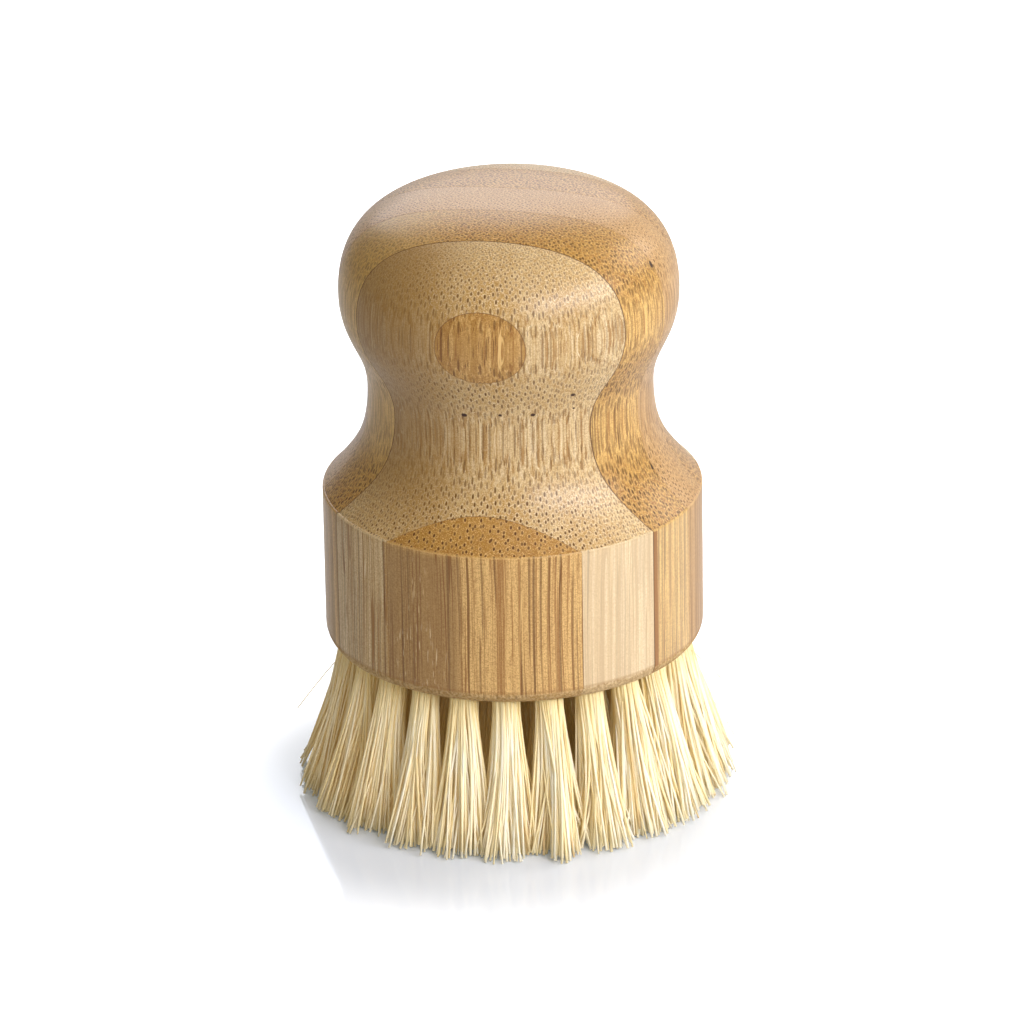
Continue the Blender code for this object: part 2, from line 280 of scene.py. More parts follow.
# %% Places of the tufts, in millimetres
RINGS = (
    ("outer_tuft", 24, 6.8), ("second_ring_tuft", 15, 0.0),
    ("third_ring_tuft", 8, 13.5), ("centre_tuft", 3, 40.0),
)
OUTER_RING, RING_STEP_SHARE = 22.0, 0.28
OUTER_LEAN = math.radians(10)
LEAN = math.tan(OUTER_LEAN) / OUTER_RING

tufts = []
for ring, (ring_name, count, first_turn) in enumerate(RINGS):
    for place in range(count):
        turn = math.radians(first_turn + 360 * place / count)
        outward = np.array([math.sin(turn), -math.cos(turn), 0.0])
        centre = outward * OUTER_RING * (1 - RING_STEP_SHARE * ring)
        tufts.append((f"{ring_name}_{place + 1:02d}", ring, centre))
centres = np.array([centre for _, _, centre in tufts])
print(f"{len(tufts)} tufts in {len(RINGS)} rings")

# %% [markdown]
# Drilled holes
#
# A blind hole has a clear edge in flat wood, and here a boolean is the right tool. All the drill bits are one
# mesh, which is taken away from every plank and film that reaches the underside.

# %% Drill bits
HOLE_RADIUS, HOLE_DEPTH, DRILL_CONE, DRILL_START = 2.0, 10.0, 0.8, -1.0


def drill_bits(sides=20):
    """A cylinder with a cone for each hole: two rings of the hole's radius along the lean, and a tip."""
    down = np.array([DRILL_START, HOLE_DEPTH])
    axis = unit(np.array([0.0, 0.0, 1.0]) - centres * LEAN)
    turn = np.arange(sides) * 2 * np.pi / sides
    ring = np.stack([np.cos(turn), np.sin(turn), 0 * turn], 1) * HOLE_RADIUS
    mouths = centres + (0, 0, UNDERSIDE)
    rings = mouths[:, None, None] + axis[:, None, None] * down[:, None, None] + ring[None, None]
    ends = mouths[:, None] + axis[:, None] * np.array([DRILL_START, HOLE_DEPTH + DRILL_CONE])[:, None]
    points = np.concatenate([rings.reshape(len(centres), -1, 3), ends], 1)
    here, after = np.arange(sides), (np.arange(sides) + 1) % sides
    walls = np.stack([here, after, after + sides, here + sides], 1)
    caps = [np.stack([after, here, np.full(sides, 2 * sides)], 1),
            np.stack([here + sides, after + sides, np.full(sides, 2 * sides + 1)], 1)]
    step = points.shape[1]
    faces = [(f + step * bit).tolist() for bit in range(len(centres)) for f in (walls, *caps)]
    mesh = bpy.data.meshes.new("drill_bits")
    mesh.from_pydata((points.reshape(-1, 3) * MM).tolist(), [], [face for group in faces for face in group])
    return mesh


drills = placed("drill_bits", drill_bits())
print(f"{len(drills.data.polygons)} faces in the drill bits")

# %% [markdown]
# Pieces of the knob
#
# Each plank stands for the CAD node of the same name, and a film of glue is a piece of the scene alone. All
# ride on the brush's one body. Smooth shading would smear the light round the rim of a hole, so edges sharper
# than a set angle stay sharp.

# %% Drilled planks and films
NEAR_UNDERSIDE = UNDERSIDE + 1
SHARP_IN_WOOD = math.radians(32)


def drilled(name, mesh):
    """The mesh with every drill bit taken away from it, shaded smooth up to its sharp edges."""
    blank = placed(name, mesh)
    if min(v.co.z for v in mesh.vertices) < NEAR_UNDERSIDE * MM:
        cut = blank.modifiers.new("holes", "BOOLEAN")
        cut.operation, cut.solver, cut.object = "DIFFERENCE", "EXACT", drills
    bpy.context.view_layer.update()
    made = bpy.data.meshes.new_from_object(blank.evaluated_get(bpy.context.evaluated_depsgraph_get()))
    bpy.data.objects.remove(blank)
    made.name = name
    made.materials.clear()
    made.shade_smooth()
    made.set_sharp_from_angle(angle=SHARP_IN_WOOD)
    return made


def add_piece(name, mesh, replaced):
    """Links a piece of the brush to the root body and hides the CAD nodes that it stands for."""
    piece = placed(name, mesh)
    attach(piece, "root")
    if replaced:
        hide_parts(*replaced)
    return piece


SLOTS = ("bamboo_brown",) * 2 + ("bamboo_pale", "bamboo_amber") * 3
planks = {
    name: add_piece(name + "_turned", drilled(name + "_turned", mesh), [name])
    for (name, mesh), slot in zip(plank_meshes.items(), SLOTS)
}
films = [
    add_piece(name, drilled(name, mesh), []) for name, mesh in film_meshes.items()
]
bpy.data.objects.remove(drills)
print(f"{len(planks)} planks and {len(films)} glue films, {len(centres)} holes")

# %% [markdown]
# A short way to write shader maths
#
# A material is a graph of nodes, and a graph is hard to read as code. The class below stands for one output
# socket. Arithmetic on it adds Math nodes, so a mask is written as 1 - spot * 0.5, and one method adds any
# other node. Colours and vectors have methods of their own, because a Math node would turn them grey.

# %% Socket class
class Signal:
    """One output socket of a material, with arithmetic that adds Math nodes."""

    def __init__(self, tree, socket=None):
        self.tree, self.socket = tree, socket

    def node(self, kind, settings=None, sockets=None, output=0):
        """Adds a node: first its settings, such as a ramp's stops, then values or links of its sockets."""
        made = self.tree.nodes.new("ShaderNode" + kind)
        for name, value in (settings or {}).items():
            if name == "stops":
                stops = made.color_ramp.elements
                while len(stops) < len(value):
                    stops.new(0.5)
                for stop, (place, colour) in zip(stops, value):
                    stop.position, stop.color = place, (*colour, 1.0)
            else:
                setattr(made, name, value)
        for name, value in (sockets or {}).items():
            if isinstance(value, Signal):
                value.into(made.inputs[name])
            else:
                made.inputs[name].default_value = value
        return Signal(self.tree, made.outputs[output])

    def into(self, socket):
        """Links this value to a socket of a node."""
        self.tree.links.new(self.socket, socket)

    def math(self, operation, *values):
        """A Math node on these values."""
        return self.node("Math", {"operation": operation}, dict(enumerate(values)))

    def __add__(self, other):
        return self.math("ADD", self, other)

    def __sub__(self, other):
        return self.math("SUBTRACT", self, other)

    def __rsub__(self, other):
        return self.math("SUBTRACT", other, self)

    def __mul__(self, other):
        return self.math("MULTIPLY", self, other)

    __radd__, __rmul__ = __add__, __mul__

    def absolute(self):
        """This value without its sign."""
        return self.math("ABSOLUTE", self)

    def smooth(self, low, high):
        """An eased step: 0 at low and 1 at high. With low above high it falls instead."""
        values = {"Value": self, "From Min": low, "From Max": high}
        return self.node("MapRange", {"interpolation_type": "SMOOTHSTEP"}, values)

    def scaled(self, *factors):
        """This vector with each of its parts times a factor."""
        return self.node("VectorMath", {"operation": "MULTIPLY"}, {0: self, 1: factors})

    def moved(self, offset):
        """This vector plus another."""
        return self.node("VectorMath", {"operation": "ADD"}, {0: self, 1: offset})

    def length(self):
        """The length of this vector."""
        return self.node("VectorMath", {"operation": "LENGTH"}, {0: self}, "Value")

    def part(self, letter):
        """The x, y or z of this vector."""
        return self.node("SeparateXYZ", None, {0: self}, letter)

    def choose(self, a, b):
        """Colour a where this value is 0 and colour b where it is 1, as a Mix node."""
        pair = [c if isinstance(c, Signal) else (*c, 1.0) for c in (a, b)]
        return self.node("Mix", {"data_type": "RGBA"}, {0: self, 6: pair[0], 7: pair[1]}, 2)


print("sockets know", ", ".join(name for name in vars(Signal) if not name.startswith("_")))

# %% [markdown]
# Glue
#
# The glue is the plainest finish of the brush, so it comes first: a dull brown, the same all along a line.
# The second line is the darkest, and those behind it are faint, so each film has a shade of its own.

# %% Material helpers and glue
FAINT_GLUE = (0.30, 0.16, 0.055)
GLUE_SHADES = [(0.20, 0.095, 0.028), (0.12, 0.055, 0.018)] + [FAINT_GLUE] * 4


def new_material(name):
    """An empty material with its Principled shader, and a Signal to start expressions from."""
    material = bpy.data.materials.new(name)
    material.use_nodes = True
    return material, material.node_tree.nodes["Principled BSDF"], Signal(material.node_tree)


def feed(shader, **values):
    """Sets or links the shader's sockets; an underscore in a name stands for a space."""
    for name, value in values.items():
        socket = shader.inputs[name.replace("_", " ")]
        if isinstance(value, Signal):
            value.into(socket)
        else:
            socket.default_value = value


for film, shade in zip(films, GLUE_SHADES):
    glue, glue_shader, _ = new_material(film.name + "_glue")
    feed(glue_shader, Base_Color=(*shade, 1.0), Roughness=0.6)
    film.data.materials.append(glue)
print(f"{len(GLUE_SHADES)} shades of glue")

# %% [markdown]
# Bundles in the bamboo
#
# Bamboo is a pale ground with dark bundles of fibre that all run upwards. Where the knob's surface faces up
# they are cut across and show as dots, and on an upright wall they are cut along and show as fine lines. One
# pattern gives both if it depends only on the place in the plank seen from above: cells of a two-dimensional
# Voronoi texture with a dot in the middle of each. The lattice is turned, because the bundles stand in a
# loose diagonal order, and each kind of plank says how loose. They are large on one side of a plank and small
# on the other, so there are two sizes.

# %% Bundles, noise and soft boxes
LATTICE_TURN, SEED_SLANT = math.radians(45), 0.37
DOT_EDGE, RING_EDGE = (1.2, 0.75), (2.0, 1.3)
FINE_PITCH, FINE_RADIUS, FINE_SEED = 0.66, 0.6, 7


def bundles(p, pitch, radius, seed, order):
    """Dots of this pitch and radius in mm, a paler ring round each, and a number from 0 to 1 for each."""
    spots = p.node("Mapping", None, {0: p, 1: (seed, seed * SEED_SLANT, 0), 2: (0, 0, LATTICE_TURN)})
    values = {"Vector": spots, "Scale": 1 / pitch, "Randomness": order}
    cells = p.node("TexVoronoi", {"voronoi_dimensions": "2D"}, values)
    own = Signal(p.tree, cells.socket.node.outputs["Color"]).part("X")
    dot, ring = (cells.smooth(*[radius / pitch * edge for edge in edges]) for edges in (DOT_EDGE, RING_EDGE))
    return dot, ring, own


def two_sizes(p, depth, look):
    """The stronger of coarse and fine bundles, which change with depth, and rings round the coarse ones."""
    pitch, radius, seed, order = (look[key] for key in ("pitch", "radius", "seed", "order"))
    coarse, ring, coarse_own = bundles(p, pitch, radius, seed, order)
    fine, _, fine_own = bundles(p, pitch * FINE_PITCH, radius * FINE_RADIUS, seed + FINE_SEED, order)
    coarse = coarse * (0.65 + 0.5 * coarse_own) * (1 - depth * (1 - look["far_coarse"]))
    fine_share = look["near_fine"] + depth * (look["far_fine"] - look["near_fine"])
    fine = fine * (0.6 + 0.5 * fine_own) * fine_share
    return coarse.math("MAXIMUM", coarse, fine), ring


def noise(p, across, along, detail=2.0, output=0):
    """Noise with this many waves per unit of p across the fibres and along them."""
    values = {"Vector": p.scaled(across, across, along), "Scale": 1.0, "Detail": detail}
    return p.node("TexNoise", None, values, output)


def within(axes, ranges, soft):
    """A box with soft sides: the product of two eased steps for each letter that has a range."""
    inside = 1.0
    for letter, (low, high) in ranges.items():
        step = axes[letter].smooth(low - soft, low + soft) * axes[letter].smooth(high + soft, high - soft)
        inside = step * inside
    return inside


print(f"dots end at {DOT_EDGE[0]} and rings at {RING_EDGE[0]} of a bundle's radius")

# %% [markdown]
# Ground of the bamboo
#
# Between the bundles the wood is far from even. From large to small it has a drift in tone, upright bands,
# fine lines, short fibres, mottling and a sandy speckle. A wall shows its lines far more than a face that
# looks up. Walls also have short dark slivers where a bundle comes to the surface, and a few long dark and
# pale veins. Each is a mask over the ground in turn, because a single noise looks like clouds and not like
# wood.

# %% Ground between the bundles
# Of each noise: waves per mm across the fibres and along them, and the detail where it isn't 2.
NOISES = {
    "tone": (0.16, 0.02), "bands": (0.5, 0.006), "lines": (2.6, 0.014, 4.0), "fibre": (7.0, 0.22),
    "grain": (3.6, 3.6), "sand": (8.5, 8.5, 1.0), "mottle": (1.9, 1.9, 3.0), "speck": (6.5, 6.5, 1.0),
}
VEIN, VEIN_WIDTH = (0.75, 0.007, 1.0), (0.013, 0.004)
PALE_VEIN, PALE_VEIN_WIDTH, PALE_VEIN_OFFSET = (0.8, 0.007, 1.0), (0.012, 0.003), (9.0, 4.0, 0.0)
SLIVERS_PER_MM, SLIVER_EDGE = 3.1, (0.26, 0.14)
SLIVER_STRETCH, MORE_ABOVE_RIM = 0.012, 0.115


def veins(waves, width):
    """Thin lines where a noise passes through 0.5: its distance from 0.5, eased to 1 over a small width."""
    return (waves - 0.5).absolute().smooth(*width)


def slivers(p, z, above):
    """Short upright dashes: the middles of cells that are stretched along the fibres, most on the base."""
    stretched = p.node("CombineXYZ", None, {"Z": z * (above * MORE_ABOVE_RIM + SLIVER_STRETCH)})
    stretched = stretched.moved(p.scaled(SLIVERS_PER_MM, SLIVERS_PER_MM, 0))
    return p.node("TexVoronoi", None, {"Vector": stretched, "Scale": 1.0}).smooth(*SLIVER_EDGE)


def wood_ground(p, z, upward, depth, ring, waves, look):
    """The tone of the plank, mixed in turn with a light or dark shade by each mask.

    A mask is an eased step of a noise, times its share. The share grows on a wall or on a face that looks up.
    """
    tone, bands, lines, fibre, grain, sand, mottle, speck = waves.values()
    wall, above = 1 - upward, z.math("GREATER_THAN", z, RIM)
    vein = veins(noise(p, *VEIN), VEIN_WIDTH) * wall * (1 - above * 0.5)
    pale_vein = veins(noise(p.moved(PALE_VEIN_OFFSET), *PALE_VEIN), PALE_VEIN_WIDTH) * wall
    masks = (
        ("light", wall * look["wall"]),
        ("line", bands.smooth(0.50, 0.72) * (0.12 + wall * 0.18)),
        ("light", bands.smooth(0.46, 0.30) * (0.10 + wall * 0.30)),
        ("line", lines.smooth(0.555, 0.60) * (0.18 + wall * 0.52)),
        ("light", lines.smooth(0.45, 0.41) * (0.15 + wall * 0.50)),
        ("line", fibre.smooth(0.42, 0.68) * 0.30 + grain.smooth(0.42, 0.62) * 0.32),
        ("line", mottle.smooth(0.47, 0.60) * upward * look["mottle"]),
        ("line", sand.smooth(0.50, 0.62) * (0.45 + upward * 0.20)),
        ("light", ring * upward * 0.25 + speck.smooth(0.56, 0.66) * (0.22 + upward * 0.50)),
        ("light", pale_vein * bands.smooth(0.4, 0.6) * 0.9),
        ("line", vein * tone.smooth(0.30, 0.5)),
        ("dot", slivers(p, z, above) * wall * (above * 0.55 + 0.22)),
    )
    ground = (tone.smooth(0.3, 0.7) * 0.4 + depth * 0.6).choose(look["near"], look["far"])
    for shade, mask in masks:
        ground = mask.choose(ground, look[shade])
    return ground


print(f"{len(NOISES)} noises of {NOISES['tone'][0]} to {NOISES['sand'][0]} waves per mm")

# %% [markdown]
# Marks, sanding and painted light
#
# Some planks have a lighter or darker patch, a few pale flecks where a bundle was torn, or a small dark pit.
# They are too few for a pattern, so each is a soft box or ball in its place. Some patches are painted light
# and
# shade instead: a darker left side of the head, away from the main lamp, and paler places on the right of the
# base wall, where the lamp falls. All planks share the lower edge: the sander took the lacquer off there and
# left it fuzzy, with a slightly scorched line above it. The rim has a pale line, a painted highlight along
# its small round corner.

# %% Own marks, painted light and shade, and the sanded edge
FLECK_NOISE, FLECK_STEP = (4.6, 0.45, 1.0), (0.62, 0.72)
PIT_EDGE = (1.15, 0.75)
FUZZ_STEP, FUZZ_DARK, FUZZ_PALE = (0.35, 0.7), (0.36, 0.215, 0.08), (0.62, 0.43, 0.21)
SANDED_UP_TO, SANDED_WAVER = (UNDERSIDE + 1.95, UNDERSIDE + 1.55), 0.35
SCORCH_LINE, SCORCH_SOFT = (UNDERSIDE + 1.75, UNDERSIDE + 2.15), 0.15
RIM_HIGHLIGHT, RIM_HIGHLIGHT_SOFT = (RIM - 0.34, RIM - 0.06), 0.08


def marks_and_painted_light(colour, place, p, axes, look):
    """The colour with one plank's patches, some painted light and shade, flecks and pits, each mixed in by
    its share.
    """
    for ranges, soft, shade, share in look.get("patches", ()):
        colour = (within(axes, ranges, soft) * share).choose(colour, shade)
    for ranges, soft, shade, share in look.get("flecks", ()):
        flecks = noise(p, *FLECK_NOISE).smooth(*FLECK_STEP) * within(axes, ranges, soft)
        colour = (flecks * share).choose(colour, shade)
    for centre, size, shade in look.get("marks", ()):
        away = place.moved([-c for c in centre]).scaled(*[1 / s for s in size])
        colour = away.length().smooth(*PIT_EDGE).choose(colour, shade)
    return colour


def sanded_edge_and_rim_highlight(colour, place, z, look):
    """The colour with the sanded edge, scorched line and painted rim highlight, then the fuzz and where it is
    sanded.
    """
    fuzz = place.node("TexNoise", None, {"Vector": place, "Scale": 2.6, "Detail": 3.0}).smooth(*FUZZ_STEP)
    sanded = (z + (fuzz - 0.5) * SANDED_WAVER).smooth(*SANDED_UP_TO)
    colour = (sanded * 0.7).choose(colour, fuzz.choose(FUZZ_DARK, FUZZ_PALE))
    scorched = within({"Z": z}, {"Z": SCORCH_LINE}, SCORCH_SOFT)
    colour = (scorched * 0.35).choose(colour, look["line"])
    # A painted highlight: a pale line along the small round of the rim.
    rim_highlight = within({"Z": z}, {"Z": RIM_HIGHLIGHT}, RIM_HIGHLIGHT_SOFT)
    colour = (rim_highlight * 0.35).choose(colour, look["light"])
    return colour, fuzz, sanded


print(f"sanded up to {SANDED_UP_TO[0]:.1f} mm, rim line from {RIM_HIGHLIGHT[0]:.1f} mm")

# %% [markdown]
# Bamboo under a satin lacquer
#
# The material puts the steps above together. The pattern's place drifts a little from side to side, because
# fibres in a stem are never quite straight. Towards the top of the head the dots fade, as painted sheen. The
# bundles are softer than the wood round them, so they lie a trace lower and are less glossy. The lacquer is
# the shader's own coat and is missing where the wood was sanded.

# %% Bamboo material
DRIFT_NOISE, DRIFT_MM = (0.05, 0.03, 1.0), 1.4
FACES_UP = (0.12, 0.5)
SHEEN_FADE_HEIGHTS, SHEEN_FADE_SHARE = (61.0, 67.0), 0.12
ROUGH = {"lacquer": 0.46, "dot": 0.16, "fibre": 0.05, "sanded": 0.35}
RELIEF = {"fibre": 0.2, "grain": 0.2, "dot": 1.2, "fuzz": 1.5}


def bamboo_material(name, look):
    """Bamboo with the bundles, ground, marks, sanding and painted light that one plank shows, and its
    lacquer.
    """
    material, shader, start = new_material(name)
    place = start.node("TexCoord", output="Object").scaled(*[1 / MM] * 3)
    drift = noise(place, *DRIFT_NOISE, "Color").moved((-0.5, -0.5, -0.5))
    p = place.moved(drift.scaled(DRIFT_MM, DRIFT_MM, 0)).moved((look["seed"] * 3, look["seed"], 0))
    axes = {letter: place.part(letter) for letter in "XYZ"}
    z = axes["Z"]
    upward = start.node("NewGeometry", output="Normal").part("Z").absolute().smooth(*FACES_UP)
    depth = axes["Y"].smooth(*look["depths"])

    dot, ring = two_sizes(p, depth, look)
    waves = {kind: noise(p, *numbers) for kind, numbers in NOISES.items()}
    ground = wood_ground(p, z, upward, depth, ring, waves, look)
    # Painted sheen: the dots fade towards the top of the head.
    dots_under_painted_sheen = 1 - z.smooth(*SHEEN_FADE_HEIGHTS) * SHEEN_FADE_SHARE
    colour = (dot * (0.60 + upward * 0.35) * dots_under_painted_sheen).choose(ground, look["dot"])
    colour = marks_and_painted_light(colour, place, p, axes, look)
    colour, fuzz, sanded = sanded_edge_and_rim_highlight(colour, place, z, look)

    fibre, grain = waves["fibre"], waves["grain"]
    rough = ROUGH["lacquer"] + dot * ROUGH["dot"] + fibre * ROUGH["fibre"] + sanded * ROUGH["sanded"]
    height = fibre * RELIEF["fibre"] + grain * RELIEF["grain"] - dot * RELIEF["dot"]
    height = height + sanded * fuzz * RELIEF["fuzz"]
    bump = start.node("Bump", None, {"Strength": 0.36, "Distance": 0.12 * MM, "Height": height})
    feed(shader, Base_Color=colour, Roughness=rough, Normal=bump, Coat_Weight=(1 - sanded) * 0.52,
         Coat_Roughness=0.31, Specular_IOR_Level=0.12)
    return material


print(f"roughness from {ROUGH['lacquer']} up, pattern drift {DRIFT_MM} mm")

# %% [markdown]
# The tones of each plank
#
# Planks come from different stems, so each has its own ground and its own bundles. Colours are written as
# linear values. Depths are the glue lines, between which a plank goes from its near to its far look. The two
# front bits are brown and the layers behind them pale and amber by turns. The hidden planks at the back
# repeat these kinds with another seed. Patches, flecks and pits are in millimetres of the brush, each with
# how soft its edge is, its colour and its share.

# %% Tones of the planks
PALE = {
    "near": (0.55, 0.33, 0.098), "far": (0.73, 0.54, 0.27), "light": (0.83, 0.65, 0.38),
    "line": (0.33, 0.155, 0.032), "dot": (0.14, 0.060, 0.010), "wall": 0.15, "mottle": 0.1, "order": 0.55,
    "pitch": 0.64, "radius": 0.155, "near_fine": 0.0, "far_fine": 0.75, "far_coarse": 0.6,
}
AMBER = {
    "near": (0.47, 0.238, 0.036), "far": (0.49, 0.268, 0.058), "light": (0.78, 0.49, 0.155),
    "line": (0.31, 0.13, 0.028), "dot": (0.13, 0.056, 0.012), "wall": 0.95, "mottle": 0.85, "order": 0.7,
    "pitch": 0.58, "radius": 0.185, "near_fine": 0.4, "far_fine": 0.6, "far_coarse": 0.85,
}
BROWN = {
    "near": (0.43, 0.222, 0.038), "far": (0.43, 0.222, 0.038), "light": (0.77, 0.48, 0.17),
    "line": (0.29, 0.12, 0.026), "dot": (0.12, 0.046, 0.009), "wall": 0.95, "mottle": 0.25, "order": 0.85,
    "pitch": 0.80, "radius": 0.165, "near_fine": 0.0, "far_fine": 0.0, "far_coarse": 1.0,
}
PIT = (0.05, 0.018, 0.006)
ON_BASE = (0, RIM - 0.3)
OWN_LOOKS = {
    "front_head_cap": {"near": (0.37, 0.180, 0.030), "far": (0.37, 0.180, 0.030), "wall": 0.2},
    "front_base_slice": {
        "patches": [({"X": (-16.0, -2.9), "Z": (-5.0, RIM - 0.3)}, 0.9, (0.18, 0.082, 0.022), 0.52)],
        "flecks": [
            ({"X": (-12.0, -5.0), "Z": (23.5, 32.0)}, 1.5, (0.78, 0.58, 0.32), 0.75),
            ({"X": (-10.5, -7.5), "Z": (33.0, 42.0)}, 1.0, (0.72, 0.50, 0.24), 0.6),
        ],
    },
    "bamboo_layer_1": {
        "patches": [
            # Painted light: the pale patch on the right of the base wall, where the main lamp falls.
            ({"X": (13.0, 30.0), "Z": ON_BASE}, 0.25, (0.80, 0.62, 0.38), 0.5),
            # Painted shade: the dark patch on the left of the head, away from the main lamp.
            ({"X": (-40.0, -5.0), "Z": (RIM + 3, 100.0)}, 6.0, (0.30, 0.150, 0.030), 0.66),
        ],
        "marks": [
            ((-2.8, -19.7, 61.5), (0.42, 1.0, 0.28), PIT), ((2.1, -19.8, 61.8), (0.26, 1.0, 0.2), PIT),
            ((6.4, -18.9, 61.7), (0.34, 1.0, 0.25), PIT), ((11.6, -17.4, 64.3), (0.3, 1.0, 0.28), PIT),
            ((11.5, -16.3, 61.9), (0.16, 1.0, 0.16), PIT),
        ],
    },
    "bamboo_layer_2": {
        "patches": [
            ({"X": (-40.0, -8.0), "Z": (RIM + 6, 100.0)}, 6.0, (0.60, 0.40, 0.14), 0.35),
            # Painted light: the pale patch on the right of the base wall, where the main lamp falls.
            ({"X": (8.0, 40.0), "Z": ON_BASE}, 0.3, (0.84, 0.66, 0.38), 0.18),
            ({"X": (0, 30), "Y": (-14.2, -13.5), "Z": ON_BASE}, 0.12, (0.26, 0.10, 0.028), 0.85),
        ],
        "marks": [((20.6, -6.4, 79.4), (0.3, 0.35, 1.0), PIT), ((20.5, -6.3, 49.9), (0.3, 0.4, 0.9), PIT)],
    },
    "bamboo_layer_3": {
        "near": (0.49, 0.28, 0.100), "far": (0.51, 0.295, 0.11), "light": (0.72, 0.46, 0.20), "pitch": 0.62,
    },
    "bamboo_layer_4": {"near": (0.51, 0.29, 0.105)},
}
LAST_DEPTH = 24.0
FRONT_SEED, SEED_STEP = 3.0, 11.0

for number, name in enumerate(planks):
    if name.startswith("front"):
        look = BROWN | {"depths": (-BASE_RADIUS, GLUE_LINES[0]), "seed": FRONT_SEED + number}
    else:
        layer = int(name[-1])
        depths = (GLUE_LINES[layer - 1], (*GLUE_LINES, LAST_DEPTH)[layer])
        look = (PALE, AMBER)[(layer + 1) % 2] | {"depths": depths, "seed": SEED_STEP * layer}
    planks[name].data.materials.append(bamboo_material(name + "_bamboo", look | OWN_LOOKS.get(name, {})))
print(f"{len(planks)} bamboo materials")

# %% [markdown]
# Paths of the fibres
#
# A tuft is a bunch of stiff fibres, folded in half over a staple in its hole. Its fibres leave the hole side
# by side, run together for about a third of their length and then fan out to the trimmed face. Neighbours
# stick together in clumps, and about one in seven fibres goes its own way. Hair particles would be quicker,
# but they aren't a mesh that can be exported. Each fibre is therefore a thin square rod along its own path,
# and all the rods of a tuft are worked out in one go.

# %% Fibre paths, in millimetres and radians
STATIONS = np.linspace(-0.26, 1.0, 8)
GOLDEN_TURN = 2.39996
ROOT_RADIUS, ROOT_TURN = 1.76, 0.15
TIP_RADIUS, TIP_TURN, TIP_REACH, TIP_HEIGHT = 3.55, 0.32, 0.15, 0.55
CLUMPS, CLUMP_SHIFT = 16, 0.75
STRAY_SHARE, STRAY_REACH = 0.14, (0.9, 1.4)
FAN, CLUMP_FAN, OWN_FAN = 1.45, 0.18, 0.08
CLUMP_BOW, OWN_BOW, BOW_SIDE = 0.34, 0.14, 1.5
THIN, THICK = 0.14, 0.25


def round_the_axis(turn):
    """Unit vectors cos a, sin a."""
    return np.stack([np.cos(turn), np.sin(turn)], 1)


def fibre_paths(chance, centre, count):
    """Points along each fibre, as count x stations x 3, and each fibre's radius.

    The middle of the tuft runs straight from the mouth to its place at the tips. A fibre's offset from it
    goes from its root, on a sunflower spiral, to its tip by s^e, with a bow of sin(pi s) to one side. Fibres
    that start near each other are a clump, and the tips of a clump move together.
    """
    outward = unit(centre)
    frame_xy = np.stack([outward, np.cross((0, 0, 1), outward)])
    number = np.arange(count) + 0.5
    turn = number * GOLDEN_TURN + chance.normal(0, ROOT_TURN, count)
    share = np.sqrt(number / count)
    root = round_the_axis(turn) * (share * ROOT_RADIUS)[:, None]
    leader = root[chance.choice(count, CLUMPS, replace=False)]
    clump = np.linalg.norm(root[:, None] - leader[None], axis=2).argmin(1)
    tip_turn = turn + chance.normal(0, TIP_TURN, count)
    reach = TIP_RADIUS * share * (1 + chance.normal(0, TIP_REACH, count))
    tip = round_the_axis(tip_turn) * reach[:, None]
    tip += chance.normal(0, CLUMP_SHIFT, (CLUMPS, 2))[clump]
    stray = chance.random(count) < STRAY_SHARE
    astray = round_the_axis(chance.uniform(0, 2 * np.pi, count))
    astray = astray * (TIP_RADIUS * chance.uniform(*STRAY_REACH, count))[:, None]
    tip = np.where(stray[:, None], astray, tip)
    s = np.clip(STATIONS, 0, 1)
    fan = FAN + chance.normal(0, CLUMP_FAN, CLUMPS)[clump] + chance.normal(0, OWN_FAN, count)
    eased = (s ** fan[:, None])[..., None]
    bow = chance.normal(0, CLUMP_BOW, CLUMPS)[clump] + chance.normal(0, OWN_BOW, count)
    bow = (np.sin(np.pi * s) * bow[:, None])[..., None] * round_the_axis(turn + BOW_SIDE)[:, None]
    offset = root[:, None] * (1 - eased) + tip[:, None] * eased + bow
    tip_height = np.abs(chance.normal(0, TIP_HEIGHT, count))
    middle = centre * (1 + LEAN * UNDERSIDE * STATIONS)[:, None]
    paths = middle[None] + offset @ frame_xy
    paths[..., 2] = UNDERSIDE + (tip_height[:, None] - UNDERSIDE) * STATIONS
    return paths, chance.uniform(THIN, THICK, count)


print(f"{len(STATIONS)} stations along a fibre, {CLUMPS} clumps in a tuft")

# %% [markdown]
# Rods along the paths
#
# A rod of four sides is enough for a fibre this thin, and it keeps thousands of them light. A UV map carries
# what the material needs to know: across it a number for each fibre, and along it the place from root to tip.

# %% Fibre rods in tufts
SQUARE = np.radians((45, 135, 225, 315))
TAPER = 0.82
SHARP_IN_FIBRE = math.radians(100)
FIBRES_IN_TUFT = (340, 150, 100, 100)


